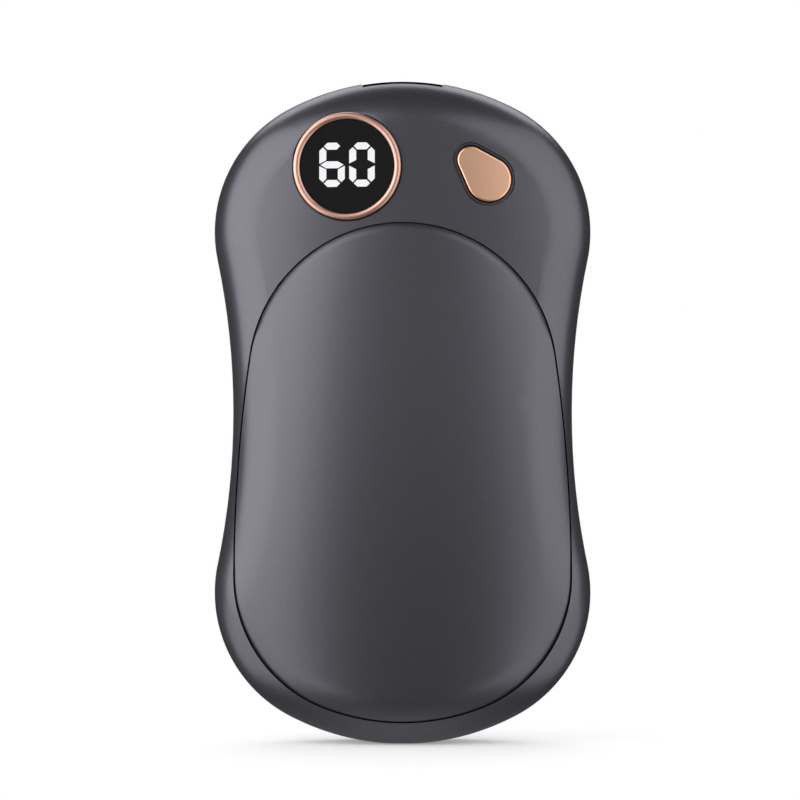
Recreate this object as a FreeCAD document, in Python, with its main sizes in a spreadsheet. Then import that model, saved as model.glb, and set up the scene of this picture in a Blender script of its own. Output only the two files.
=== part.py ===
import FreeCAD, Part
import math
import os
import re
import Sketcher

# A pocket hand warmer, upright: X to the right, Y to the back, Z up, origin at the middle of the casing.
# Depths are given as levels forward of the plane where the two shells meet, so a level u lies at Y = -u.

# Driving sizes in millimetres, angles in degrees
SIZES = {
    # Casing: a waisted outline of tangent arcs, a doubly curved face and a rounded rim
    "body_length": 110.0,
    "body_width": 62.5,
    "waist_pull_in": 3.15,
    "lobe_radius": 23.0,
    "end_radius": 40.8,
    "shell_crown_height": 13.2,
    "shell_across_radius": 110.0,
    "shell_along_radius": 500.0,
    "rim_radius": 9.0,
    "shell_wall": 2.4,
    "foot_flat_depth": 0.15,
    "cut_overrun": 3.0,
    # Register lip where the shells meet
    "lip_width": 0.9,
    "lip_height": 1.0,
    "lip_root": 0.6,
    "lip_clearance": 0.1,
    # Egg-shaped heat plates, their seats and what is bonded under them
    "plate_side_margin": 3.55,
    "plate_foot_margin": 4.13,
    "forehead_height": 24.0,
    "plate_side_radius": 245.0,
    "plate_corner_across": 4.7,
    "plate_foot_radius": 36.1,
    "plate_rise": 1.4,
    "plate_rim_radius": 10.2,
    "plate_edge": 0.9,
    "plate_edge_round": 0.25,
    "seam_gap": 0.22,
    "ledge_width": 2.2,
    "bond_layer": 0.15,
    "tape_margin": 0.2,
    "film_margin": 6.5,
    # Casing screws and their posts
    "post_inset": 2.9,
    "post_radius": 2.5,
    "boss_radius": 2.9,
    "upper_post_angle": 39.0,
    "lower_post_angle": 19.0,
    "ear_thickness": 2.0,
    "screw_radius": 1.0,
    "screw_clearance": 0.15,
    "screw_head_radius": 1.9,
    "screw_head_height": 1.4,
    "screw_head_depth": 6.7,
    "screw_bite": 5.0,
    # Round display
    "display_offset": 9.12,
    "display_drop": 14.63,
    "ring_outer_radius": 8.9,
    "ring_inner_radius": 7.75,
    "ring_rise": 0.5,
    "ring_seat_depth": 1.2,
    "ring_round": 0.5,
    "ring_clearance": 0.2,
    "window_setback": 0.55,
    "window_thickness": 1.2,
    "window_clearance": 0.1,
    "block_clearance": 0.45,
    "digit_height": 7.3,
    "digit_width": 4.2,
    "digit_gap": 0.72,
    "digit_rise": 0.26,
    "bar_thickness": 1.15,
    "bar_gap": 0.19,
    # Power button and the switch under it
    "button_offset": 14.14,
    "button_drop": 16.78,
    "button_radius": 3.68,
    "button_tip_across": 2.95,
    "button_tip_rise": 3.2,
    "button_tip_radius": 2.25,
    "button_gap": 0.3,
    "bezel_width": 0.16,
    "bezel_groove_width": 0.2,
    "bezel_groove_depth": 0.5,
    "button_edge_round": 0.3,
    "collar_width": 1.8,
    "flange_width": 1.1,
    "flange_thickness": 0.8,
    "flange_gap": 0.15,
    "switch_width": 6.0,
    "switch_base_height": 2.5,
    "switch_plunger_rise": 1.0,
    "switch_plunger_radius": 1.6,
    "switch_plunger_sink": 1.2,
    "switch_travel": 0.5,
    "switch_clearance": 0.15,
    "switch_cover_thickness": 0.25,
    # Control board and its posts
    "board_depth": 10.4,
    "board_thickness": 1.2,
    "board_clearance": 1.2,
    "board_drop": 28.0,
    "board_setback": 5.5,
    "board_post_radius": 2.2,
    "board_post_across": 23.0,
    "board_post_drop": 24.0,
    "board_top_post_across": 4.2,
    "board_top_post_drop": 10.5,
    "board_screw_radius": 0.8,
    "board_screw_head_radius": 1.6,
    "board_screw_head_height": 1.0,
    "board_screw_bite": 3.0,
    # Parts on the board
    "chip_width": 5.0,
    "chip_height": 0.9,
    "inductor_width": 7.0,
    "inductor_height": 3.2,
    "inductor_round": 1.0,
    "board_part_across": 10.0,
    "board_part_drop": 16.0,
    "capacitor_width": 1.6,
    "capacitor_length": 3.2,
    "capacitor_height": 1.4,
    "capacitor_pitch": 2.6,
    "connector_width": 6.0,
    "connector_length": 4.0,
    "connector_height": 3.0,
    "connector_edge": 1.5,
    "connector_across": 7.0,
    "front_connector_across": 4.0,
    # Charging inlet in the top edge
    "port_width": 13.3,
    "port_depth": 11.0,
    "port_recess": 0.12,
    "port_clearance": 0.1,
    "usb_width": 8.94,
    "usb_height": 3.2,
    "usb_wall": 0.3,
    "usb_length": 7.4,
    "usb_setback": 0.4,
    "usb_clearance": 0.15,
    "usb_back_length": 1.6,
    "usb_tongue_width": 6.7,
    "usb_tongue_thickness": 0.7,
    "usb_tongue_length": 4.6,
    # Cells, their frame and their pads
    "cell_headroom": 7.7,
    "cell_side_margin": 9.1,
    "cell_foot_margin": 13.5,
    "cell_head_margin": 13.0,
    "cell_round": 1.2,
    "cell_clearance": 0.3,
    "cell_tape_thickness": 0.2,
    "cell_tape_margin": 3.0,
    "cradle_wall": 1.2,
    "cradle_setback": 1.0,
    "cradle_corner": 2.0,
    "pad_thickness": 1.0,
    "pad_margin": 2.0,
    "tab_height": 0.5,
    "tab_width": 4.0,
    "tab_depth": 2.0,
    "protection_thickness": 1.0,
    "protection_margin": 6.0,
    "protection_headroom": 2.0,
    # Sensors on the heaters
    "thermistor_width": 3.0,
    "thermistor_length": 4.0,
    "thermistor_depth": 3.4,
    "thermistor_across": 10.0,
    "fuse_width": 8.0,
    "fuse_length": 3.4,
    "fuse_depth": 3.8,
    # Leads
    "lead_radius": 0.6,
    "lead_pitch": 2.2,
    "sensor_lead_radius": 0.35,
    "sensor_lead_pitch": 1.4,
    "solder_reach": 6.0,
    "lead_bend_depth": 5.0,
    "lead_bend_drop": 3.5,
    "battery_lead_set_back": 1.5,
    "sensor_lead_lift": 0.5,
    "sensor_lead_hop": 3.2,
    "sensor_solder_rise": 1.0,
}

# Sizes that follow from the driving ones
WORKED = {
    "half_length": "body_length / 2",
    "half_width": "body_width / 2",
    "half_waist": "half_width - waist_pull_in",
    "lobe_across": "half_width - lobe_radius",
    "end_centre": "half_length - end_radius",
    "lobe_height": "end_centre + sqrt((end_radius - lobe_radius)^2 - lobe_across^2)",
    "waist_reach": "half_waist - lobe_across",
    "waist_radius": "(waist_reach^2 + lobe_height^2 - lobe_radius^2) / (2 * (lobe_radius - waist_reach))",
    "plate_half": "half_width - plate_side_margin",
    "plate_foot": "plate_foot_margin - half_length",
    "plate_top": "half_length - forehead_height",
    "plate_foot_centre": "plate_foot + plate_foot_radius",
    "plate_corner_radius": "plate_half - plate_corner_across",
    "plate_foot_reach": "sqrt((plate_foot_radius - plate_corner_radius)^2 - plate_corner_across^2)",
    "plate_widest_drop": "plate_foot_reach - plate_foot_centre",
    "plate_reach": "plate_top + plate_widest_drop",
    "plate_side_across": "plate_side_radius - plate_half",
    "plate_top_radius": "(2 * plate_side_radius * plate_half - plate_half^2 - plate_reach^2)"
                        " / (2 * (plate_side_radius - plate_reach))",
    "plate_top_centre": "plate_top - plate_top_radius",
    "plate_middle": "(plate_top + plate_foot) / 2",
    "plate_half_height": "(plate_top - plate_foot) / 2",
    "pillow_gain": "plate_rise / plate_half_height^2",
    "pillow_along_radius": "1 / (1 / shell_along_radius + 2 * pillow_gain)",
    "pillow_across_radius": "1 / (1 / shell_across_radius + 2 * plate_rise / plate_half^2)",
    "pillow_place": "2 * pillow_gain * plate_middle * pillow_along_radius",
    "pillow_height": "shell_crown_height"
                     " + pillow_gain * (plate_half_height^2 - (pillow_place - plate_middle)^2)"
                     " - pillow_place^2 / (2 * shell_along_radius)",
    "skin_place": "0",
    "skin_inset": "0",
    "groove_inset": "bezel_groove_depth",
    "port_inset": "port_recess",
    "seat_inset": "plate_edge",
    "bond_inset": "plate_edge + bond_layer",
    "wall_inset": "shell_wall",
    "lip_inset": "shell_wall - lip_width",
    "rebate_inset": "lip_inset - lip_clearance",
    "board_inset": "shell_wall + board_clearance",
    "opening_inset": "0 - seam_gap",
    "seat_floor": "shell_crown_height - (half_waist - rim_radius)^2 / (2 * shell_across_radius) - rim_radius",
    "half_ear": "ear_thickness / 2",
    "upper_post_across": "(plate_top_radius - post_inset) * sin(upper_post_angle)",
    "upper_post_height": "plate_top_centre + (plate_top_radius - post_inset) * cos(upper_post_angle)",
    "lower_post_across": "(plate_foot_radius - post_inset) * sin(lower_post_angle)",
    "lower_post_height": "plate_foot_centre - (plate_foot_radius - post_inset) * cos(lower_post_angle)",
    "screw_seat": "shell_crown_height - screw_head_depth",
    "display_height": "half_length - display_drop",
    "display_swing": "shell_along_radius - shell_across_radius"
                     " + sqrt(shell_across_radius^2 - display_offset^2)",
    "display_level": "shell_crown_height - shell_along_radius + sqrt(display_swing^2 - display_height^2)",
    "ring_foot": "0 - ring_seat_depth",
    "bore_foot": "0 - shell_wall - cut_overrun",
    "window_front": "ring_rise - window_setback",
    "window_back": "window_front - window_thickness",
    "window_radius": "ring_inner_radius - window_clearance",
    "block_radius": "ring_inner_radius - block_clearance",
    "block_foot": "window_back - board_depth",
    "button_height": "half_length - button_drop",
    "tip_across": "button_offset - button_tip_across",
    "tip_height": "button_height + button_tip_rise",
    "press_across": "(button_offset + tip_across) / 2",
    "press_height": "(button_height + tip_height) / 2",
    "cap_outset": "0",
    "hole_outset": "button_gap",
    "bezel_outset": "button_gap + bezel_width",
    "groove_outset": "bezel_outset + bezel_groove_width",
    "collar_outset": "button_gap + collar_width",
    "flange_outset": "flange_width",
    "board_front": "shell_crown_height - board_depth",
    "board_rear": "board_front - board_thickness",
    "board_foot": "half_length - board_drop",
    "board_head": "half_length - board_setback",
    "board_post_height": "half_length - board_post_drop",
    "board_top_post_height": "half_length - board_top_post_drop",
    "board_part_height": "half_length - board_part_drop",
    "connector_foot": "board_foot + connector_edge",
    "switch_top": "board_front + switch_base_height",
    "plunger_top": "switch_top + switch_plunger_rise",
    "plunger_foot": "switch_top - switch_plunger_sink",
    "switch_floor": "plunger_foot - switch_travel - switch_clearance",
    "flange_top": "plunger_top + flange_thickness",
    "collar_level": "flange_top + flange_gap",
    "usb_half_height": "usb_height / 2",
    "usb_half_flat": "usb_width / 2 - usb_half_height",
    "usb_level": "board_rear - usb_half_height",
    "usb_mouth": "half_length - port_recess - usb_setback",
    "usb_rear": "usb_mouth - usb_length",
    "cell_front": "shell_crown_height - cell_headroom",
    "cell_half_width": "half_waist - cell_side_margin",
    "cell_foot": "cell_foot_margin - half_length",
    "cell_head": "board_foot - cell_head_margin",
    "cell_length": "cell_head - cell_foot",
    "cell_thickness": "cell_front - cell_tape_thickness / 2",
    "cradle_half_height": "cell_front - cradle_setback",
    "protection_foot": "cell_head + tab_height",
    "protection_head": "protection_foot + protection_thickness",
    "cradle_inner_head": "protection_head + protection_headroom",
    "cradle_head": "cradle_inner_head + cradle_wall",
    "cradle_foot": "cell_foot - cradle_wall",
    "cradle_inner_half": "cell_half_width + cell_clearance",
    "cradle_half": "cradle_inner_half + cradle_wall",
    "thermistor_level": "shell_crown_height - thermistor_depth",
    "fuse_level": "shell_crown_height - fuse_depth",
    "lead_start": "plate_top - film_margin - solder_reach",
    "lead_bend_level": "shell_crown_height - lead_bend_depth",
    "lead_bend_height": "connector_foot - lead_bend_drop",
    "front_connector_level": "board_front + connector_height / 2",
    "rear_connector_level": "board_rear - connector_height / 2",
    "battery_lead_level": "0 - battery_lead_set_back",
    "sensor_lead_level": "thermistor_level + sensor_lead_lift",
    "sensor_hop_level": "board_front + sensor_lead_hop",
    "sensor_solder_height": "connector_foot + sensor_solder_rise",
    "thermistor_head": "plate_middle + thermistor_length",
}

# Face heights, curvatures and rim rounding of the casing's skin and of the raised plates
SKIN = ("shell_crown_height", "shell_across_radius", "shell_along_radius", "skin_place", "rim_radius")
PILLOW = ("pillow_height", "pillow_across_radius", "pillow_along_radius", "pillow_place", "plate_rim_radius")

SCREW_PLACES = (
    ("upper_post_across", "upper_post_height"),
    ("-upper_post_across", "upper_post_height"),
    ("lower_post_across", "lower_post_height"),
    ("-lower_post_across", "lower_post_height"),
)
BOARD_POST_PLACES = (
    ("board_post_across", "board_post_height"),
    ("-board_post_across", "board_post_height"),
    ("board_top_post_across", "board_top_post_height"),
)

# Bars of the figures six and zero
LIT_SIX = ("top", "upper_left", "middle", "lower_left", "lower_right", "foot")
UNLIT_SIX = ("upper_right",)
LIT_ZERO = ("top", "upper_left", "upper_right", "lower_left", "lower_right", "foot")
UNLIT_ZERO = ("middle",)

LEVEL_SHARE = 1e-6

Vector = FreeCAD.Vector
Constraint = Sketcher.Constraint
FORWARD = FreeCAD.Rotation(Vector(1, 0, 0), 90)
START, END, CENTRE = 1, 2, 3
ORIGIN, ACROSS_AXIS, UP_AXIS = (-1, 1), -1, -2

doc = FreeCAD.newDocument("hand_warmer")
sub_parts = []


# Sheets, bindings and small solids

def prefixed(formula, names, sheet_name):
    """Put the sheet's name before each of its aliases in a formula."""
    def swap(found):
        word = found.group(0)
        return f"{sheet_name}.{word}" if word in names else word
    return re.sub(r"(?<![.\w])[a-z][a-z_]*", swap, formula)


def fill_sheet(name, cells):
    """Write one alias and one cell per row."""
    sheet = doc.addObject("Spreadsheet::Sheet", name)
    for row, (alias, text) in enumerate(cells.items(), 1):
        sheet.set(f"A{row}", alias)
        sheet.set(f"B{row}", text)
        sheet.setAlias(f"B{row}", alias)
    return sheet


sizes = fill_sheet("Sizes", {alias: str(number) for alias, number in SIZES.items()})
doc.recompute()
worked = fill_sheet("Worked", {
    alias: "=" + prefixed(formula, SIZES, "Sizes") for alias, formula in WORKED.items()})
doc.recompute()


def value(alias):
    """The number that a sheet holds under an alias."""
    return float(sizes.get(alias) if alias in SIZES else worked.get(alias))


def bound(formula):
    """A formula in aliases, as an expression for an object's property."""
    return prefixed(prefixed(formula, SIZES, "Sizes"), WORKED, "Worked")


def bind(obj, formulas):
    """Bind properties of an object to formulas."""
    for path, formula in formulas.items():
        obj.setExpression(path, bound(formula))
    return obj


def sub_part(label, obj):
    """Name a finished piece and list it for export."""
    obj.Label = label
    sub_parts.append(obj)
    return obj


def box(name, across, forward, up):
    """A box from (start, length) formulas across X, forward of the parting plane and up Z."""
    return bind(doc.addObject("Part::Box", name), {
        "Length": across[1],
        "Width": forward[1],
        "Height": up[1],
        "Placement.Base.x": across[0],
        "Placement.Base.y": f"-({forward[0]}) - ({forward[1]})",
        "Placement.Base.z": up[0],
    })


def post(name, radius, across, height, forward):
    """A round post that runs forward from one level by a length."""
    cylinder = doc.addObject("Part::Cylinder", name)
    cylinder.Placement = FreeCAD.Placement(Vector(), FORWARD)
    return bind(cylinder, {
        "Radius": radius,
        "Height": forward[1],
        "Placement.Base.x": across,
        "Placement.Base.y": f"-({forward[0]})",
        "Placement.Base.z": height,
    })


def upright(name, radius, across, forward, up):
    """A round bar along Z at one level forward of the parting plane."""
    return bind(doc.addObject("Part::Cylinder", name), {
        "Radius": radius,
        "Height": up[1],
        "Placement.Base.x": across,
        "Placement.Base.y": f"-({forward})",
        "Placement.Base.z": up[0],
    })


def group(name, members):
    """Separate solids kept together."""
    compound = doc.addObject("Part::Compound", name)
    compound.Links = list(members)
    return compound


def cut(name, base, *tools):
    """A solid with each tool taken away in turn."""
    for tool in tools:
        result = doc.addObject("Part::Cut", name)
        result.Base = base
        result.Tool = tool
        base = result
    return base


def common(name, base, tool):
    """What two solids share."""
    result = doc.addObject("Part::Common", name)
    result.Base = base
    result.Tool = tool
    return result


def fuse(name, *members):
    """Solids joined into one."""
    result = doc.addObject("Part::MultiFuse", name)
    result.Shapes = list(members)
    return result


def mirrored(name, source):
    """A piece reflected from the front half to the rear half."""
    result = doc.addObject("Part::Mirroring", name)
    result.Source = source
    result.Normal = Vector(0, 1, 0)
    return result


def rounded(name, base, radius, chosen):
    """A solid with the chosen edges rounded to a radius from the sheet."""
    doc.recompute()
    reach = value(radius)
    result = doc.addObject("Part::Fillet", name)
    result.Base = base
    edges = enumerate(base.Shape.Edges, 1)
    result.Edges = [(i, reach, reach) for i, edge in edges if chosen(base.Shape, edge)]
    return result


def facing(face):
    """The outward direction of a face near its middle."""
    low_u, high_u, low_v, high_v = face.ParameterRange
    return face.normalAt((low_u + high_u) / 2, (low_v + high_v) / 2)


def is_front_rim(shape, edge):
    """Whether an edge joins a side that runs forward to the face that looks forward."""
    flat_share, front_share = 0.05, 0.2
    depths = [facing(face).y for face in shape.ancestorsOfType(edge, Part.Face)]
    sides = [depth for depth in depths if abs(depth) < flat_share]
    fronts = [depth for depth in depths if depth < -front_share]
    return len(sides) == 1 and len(fronts) == 1


def runs_forward(shape, edge):
    """Whether an edge is straight and runs forward."""
    return edge.Curve.TypeId == "Part::GeomLine" and abs(edge.tangentAt(edge.FirstParameter).y) > abs(
        edge.tangentAt(edge.FirstParameter).x) + abs(edge.tangentAt(edge.FirstParameter).z)


# Outlines drawn on the parting plane

def arc(across, up, radius, start, end):
    """A counterclockwise arc between two angles in radians."""
    return Part.ArcOfCircle(Part.Circle(Vector(across, up, 0), Vector(0, 0, 1), radius), start, end)


def new_sketch(body, role, name):
    """A sketch on one of a body's own origin planes."""
    sketch = body.newObject("Sketcher::SketchObject", name)
    plane = next(feature for feature in body.Origin.OriginFeatures if feature.Role == role)
    sketch.AttachmentSupport = [(plane, "")]
    sketch.MapMode = "FlatFace"
    return sketch


def drive_radius(sketch, curve, formula):
    """Let a formula set the radius of an arc."""
    index = sketch.addConstraint(Constraint("Radius", curve, sketch.Geometry[curve].Radius))
    sketch.setExpression(f"Constraints[{index}]", bound(formula))


def drive_across(sketch, first, second, formula):
    """Let a formula set how far one point lies across from another."""
    span = sketch.getPoint(*second).x - sketch.getPoint(*first).x
    index = sketch.addConstraint(Constraint("DistanceX", *first, *second, span))
    sketch.setExpression(f"Constraints[{index}]", bound(formula))


def drive_up(sketch, first, second, formula):
    """Let a formula set how far one point lies above another."""
    span = sketch.getPoint(*second).y - sketch.getPoint(*first).y
    index = sketch.addConstraint(Constraint("DistanceY", *first, *second, span))
    sketch.setExpression(f"Constraints[{index}]", bound(formula))


def casing_outline(body, inset):
    """The waisted outline of eight tangent arcs, drawn in from the casing's edge by an inset."""
    draw_in = value(inset)
    lobe_x, lobe_z = value("lobe_across"), value("lobe_height")
    end_z = value("end_centre")
    waist_x = value("half_waist") + value("waist_radius")
    lobe_r = value("lobe_radius") - draw_in
    end_r = value("end_radius") - draw_in
    waist_r = value("waist_radius") + draw_in
    waist_turn = math.atan2(lobe_z, waist_x - lobe_x)
    end_turn = math.atan2(lobe_z - end_z, lobe_x)
    half_turn = math.pi
    sketch = new_sketch(body, "XZ_Plane", "casing_outline")
    upper_right = sketch.addGeometry(arc(lobe_x, lobe_z, lobe_r, -waist_turn, end_turn))
    top = sketch.addGeometry(arc(0, end_z, end_r, end_turn, half_turn - end_turn))
    upper_left = sketch.addGeometry(
        arc(-lobe_x, lobe_z, lobe_r, half_turn - end_turn, half_turn + waist_turn))
    left = sketch.addGeometry(arc(-waist_x, 0, waist_r, -waist_turn, waist_turn))
    lower_left = sketch.addGeometry(
        arc(-lobe_x, -lobe_z, lobe_r, half_turn - waist_turn, half_turn + end_turn))
    foot = sketch.addGeometry(arc(0, -end_z, end_r, half_turn + end_turn, 2 * half_turn - end_turn))
    lower_right = sketch.addGeometry(arc(lobe_x, -lobe_z, lobe_r, -end_turn, waist_turn))
    right = sketch.addGeometry(arc(waist_x, 0, waist_r, half_turn - waist_turn, half_turn + waist_turn))
    sketch.addConstraint([
        Constraint("Tangent", upper_right, START, right, START),
        Constraint("Tangent", right, END, lower_right, END),
        Constraint("Tangent", top, START, upper_right, END),
        Constraint("Coincident", top, END, upper_left, START),
        Constraint("Tangent", foot, END, lower_right, START),
        Constraint("Coincident", foot, START, lower_left, END),
        Constraint("Symmetric", upper_left, START, upper_right, END, UP_AXIS),
        Constraint("Symmetric", upper_left, END, upper_right, START, UP_AXIS),
        Constraint("Equal", upper_right, upper_left),
        Constraint("Symmetric", lower_left, END, lower_right, START, UP_AXIS),
        Constraint("Symmetric", lower_left, START, lower_right, END, UP_AXIS),
        Constraint("Equal", lower_right, lower_left),
        Constraint("Coincident", left, START, lower_left, START),
        Constraint("Coincident", left, END, upper_left, END),
        Constraint("Equal", left, right),
        Constraint("Symmetric", lower_right, CENTRE, upper_right, CENTRE, ACROSS_AXIS),
        Constraint("Equal", upper_right, lower_right),
        Constraint("Equal", top, foot),
    ])
    drive_across(sketch, ORIGIN, (upper_right, CENTRE), "lobe_across")
    drive_up(sketch, ORIGIN, (upper_right, CENTRE), "lobe_height")
    drive_radius(sketch, upper_right, f"lobe_radius - {inset}")
    drive_radius(sketch, top, f"end_radius - {inset}")
    drive_radius(sketch, right, f"waist_radius + {inset}")
    return sketch


def egg_outline(body, inset):
    """The heat plate's outline of six tangent arcs, drawn in by an inset."""
    draw_in = value(inset)
    top_z, foot_z = value("plate_top_centre"), value("plate_foot_centre")
    widest_z = -value("plate_widest_drop")
    side_x, corner_x = value("plate_side_across"), value("plate_corner_across")
    side_r = value("plate_side_radius") - draw_in
    corner_r = value("plate_corner_radius") - draw_in
    top_r = value("plate_top_radius") - draw_in
    foot_r = value("plate_foot_radius") - draw_in
    top_turn = math.atan2(top_z - widest_z, side_x)
    foot_turn = math.atan2(foot_z - widest_z, corner_x)
    half_turn = math.pi
    sketch = new_sketch(body, "XZ_Plane", "egg_outline")
    top = sketch.addGeometry(arc(0, top_z, top_r, top_turn, half_turn - top_turn))
    right = sketch.addGeometry(arc(-side_x, widest_z, side_r, 0, top_turn))
    right_corner = sketch.addGeometry(arc(corner_x, widest_z, corner_r, -foot_turn, 0))
    foot = sketch.addGeometry(arc(0, foot_z, foot_r, half_turn + foot_turn, 2 * half_turn - foot_turn))
    left_corner = sketch.addGeometry(arc(-corner_x, widest_z, corner_r, half_turn, half_turn + foot_turn))
    left = sketch.addGeometry(arc(side_x, widest_z, side_r, half_turn - top_turn, half_turn))
    sketch.addConstraint([
        Constraint("Tangent", right, START, right_corner, END),
        Constraint("Tangent", top, START, right, END),
        Constraint("Tangent", foot, END, right_corner, START),
        Constraint("Symmetric", left, START, right, END, UP_AXIS),
        Constraint("Symmetric", left, END, right, START, UP_AXIS),
        Constraint("Equal", right, left),
        Constraint("Coincident", left_corner, START, left, END),
        Constraint("Symmetric", left_corner, END, right_corner, START, UP_AXIS),
        Constraint("Equal", right_corner, left_corner),
        Constraint("Coincident", top, END, left, START),
        Constraint("Coincident", foot, START, left_corner, END),
    ])
    drive_across(sketch, (right, CENTRE), ORIGIN, "plate_side_across")
    drive_up(sketch, (right, CENTRE), ORIGIN, "plate_widest_drop")
    drive_up(sketch, (right_corner, CENTRE), ORIGIN, "plate_widest_drop")
    drive_radius(sketch, right, f"plate_side_radius - {inset}")
    drive_radius(sketch, right_corner, f"plate_corner_radius - {inset}")
    drive_radius(sketch, top, f"plate_top_radius - {inset}")
    drive_radius(sketch, foot, f"plate_foot_radius - {inset}")
    return sketch


def drop_outline(body, outset):
    """The button's outline, two circles and their tangents, let out by an outset."""
    let_out = value(outset)
    wide = Vector(value("button_offset"), value("button_height"), 0)
    tip = Vector(value("tip_across"), value("tip_height"), 0)
    wide_r, tip_r = value("button_radius") + let_out, value("button_tip_radius") + let_out
    lean = math.atan2(tip.y - wide.y, tip.x - wide.x)
    turn = math.acos((wide_r - tip_r) / wide.distanceToPoint(tip))
    left_way = Vector(math.cos(lean + turn), math.sin(lean + turn), 0)
    right_way = Vector(math.cos(lean - turn), math.sin(lean - turn), 0)
    sketch = new_sketch(body, "XZ_Plane", "drop_outline")
    tip_arc = sketch.addGeometry(arc(tip.x, tip.y, tip_r, lean - turn, lean + turn))
    left = sketch.addGeometry(Part.LineSegment(tip + left_way * tip_r, wide + left_way * wide_r))
    wide_arc = sketch.addGeometry(arc(wide.x, wide.y, wide_r, lean + turn, lean - turn + 2 * math.pi))
    right = sketch.addGeometry(Part.LineSegment(wide + right_way * wide_r, tip + right_way * tip_r))
    sketch.addConstraint([
        Constraint("Tangent", tip_arc, END, left, START),
        Constraint("Tangent", left, END, wide_arc, START),
        Constraint("Tangent", wide_arc, END, right, START),
        Constraint("Tangent", right, END, tip_arc, START),
    ])
    drive_across(sketch, ORIGIN, (wide_arc, CENTRE), "button_offset")
    drive_up(sketch, ORIGIN, (wide_arc, CENTRE), "button_height")
    drive_across(sketch, ORIGIN, (tip_arc, CENTRE), "tip_across")
    drive_up(sketch, ORIGIN, (tip_arc, CENTRE), "tip_height")
    drive_radius(sketch, wide_arc, f"button_radius + {outset}")
    drive_radius(sketch, tip_arc, f"button_tip_radius + {outset}")
    return sketch


def prism(name, outline, inset, forward):
    """An outline padded forward from one level by a length."""
    body = doc.addObject("PartDesign::Body", name)
    sketch = bind(outline(body, inset), {"AttachmentOffset.Base.z": forward[0]})
    pad = body.newObject("PartDesign::Pad", name + "_pad")
    pad.Profile = sketch
    bind(pad, {"Length": forward[1]})
    return body


# The casing's form

def crown_section(body, inset, crown):
    """The space in front of a crowned face, with the axis that sweeps it along the casing."""
    height, across_radius, along_radius, place, rim = crown
    sketch = bind(new_sketch(body, "XY_Plane", "crown_section"), {"AttachmentOffset.Base.z": place})
    reach = value("half_width") + value("cut_overrun")
    centre_y = value(across_radius) - value(height)
    axis_y = value(along_radius) - value(height)
    radius = value(across_radius) - value(inset)
    turn = math.asin(reach / radius)
    front_y = -2 * value(height)
    edge_y = centre_y - radius * math.cos(turn)
    down = -math.pi / 2
    face = sketch.addGeometry(arc(0, centre_y, radius, down - turn, down + turn))
    right = sketch.addGeometry(Part.LineSegment(Vector(reach, edge_y, 0), Vector(reach, front_y, 0)))
    front = sketch.addGeometry(Part.LineSegment(Vector(reach, front_y, 0), Vector(-reach, front_y, 0)))
    left = sketch.addGeometry(Part.LineSegment(Vector(-reach, front_y, 0), Vector(-reach, edge_y, 0)))
    axis = sketch.addGeometry(Part.LineSegment(Vector(-reach, axis_y, 0), Vector(reach, axis_y, 0)), True)
    sketch.addConstraint([
        Constraint("Coincident", face, END, right, START),
        Constraint("Coincident", right, END, front, START),
        Constraint("Coincident", front, END, left, START),
        Constraint("Coincident", left, END, face, START),
        Constraint("Vertical", right),
        Constraint("Vertical", left),
        Constraint("Symmetric", front, START, front, END, UP_AXIS),
        Constraint("PointOnObject", face, CENTRE, UP_AXIS),
        Constraint("Symmetric", axis, START, axis, END, UP_AXIS),
    ])
    drive_across(sketch, (front, END), (front, START), "2 * (half_width + cut_overrun)")
    drive_up(sketch, (front, START), ORIGIN, f"2 * {height}")
    drive_up(sketch, ORIGIN, (face, CENTRE), f"{across_radius} - {height}")
    drive_radius(sketch, face, f"{across_radius} - {inset}")
    drive_across(sketch, (axis, START), (axis, END), "2 * (half_width + cut_overrun)")
    drive_up(sketch, ORIGIN, (axis, START), f"{along_radius} - {height}")
    return sketch


def front_half(name, inset, crown):
    """The casing's front half as a solid, drawn in all over by an inset."""
    height, across_radius, along_radius, place, rim = crown
    body = doc.addObject("PartDesign::Body", name)
    pad = body.newObject("PartDesign::Pad", name + "_pad")
    pad.Profile = casing_outline(body, inset)
    pad.SideType = "Two sides"
    bind(pad, {"Length": f"{height} + cut_overrun", "Length2": f"{rim} + cut_overrun"})
    groove = body.newObject("PartDesign::Groove", name + "_crown")
    groove.Profile = crown_section(body, inset, crown)
    groove.ReferenceAxis = (groove.Profile[0], ["Axis0"])
    groove.Midplane = True
    bind(groove, {"Angle": f"2 * asin(body_length / {along_radius})"})
    doc.recompute()
    face = next(face for face in groove.Shape.Faces if face.Surface.TypeId == "Part::GeomToroid")
    rim_edges = [f"Edge{i}" for i, edge in enumerate(groove.Shape.Edges, 1)
                 if any(edge.isSame(side) for side in face.Edges)]
    rounding = body.newObject("PartDesign::Fillet", name + "_rim")
    rounding.Base = (groove, rim_edges)
    bind(rounding, {"Radius": f"{rim} - {inset}"})
    parting = new_sketch(body, "XZ_Plane", "parting")
    disc = parting.addGeometry(Part.Circle(Vector(), Vector(0, 0, 1), value("body_length")))
    parting.addConstraint(Constraint("Coincident", disc, CENTRE, *ORIGIN))
    drive_radius(parting, disc, "body_length")
    halving = body.newObject("PartDesign::Pocket", name + "_half")
    halving.Profile = parting
    halving.Type = "ThroughAll"
    return body


skin = front_half("skin", "skin_inset", SKIN)
groove_form = front_half("groove_form", "groove_inset", SKIN)
port_form = front_half("port_form", "port_inset", SKIN)
seat_form = front_half("seat_form", "seat_inset", SKIN)
bond_form = front_half("bond_form", "bond_inset", SKIN)
wall_form = front_half("wall_form", "wall_inset", SKIN)
pillow = front_half("pillow", "skin_inset", PILLOW)
rear_bond_form = mirrored("rear_bond_form", bond_form)
through_forward = ("0", "pillow_height + cut_overrun")


# Heat plates with their bonding tape and heater films

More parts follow.
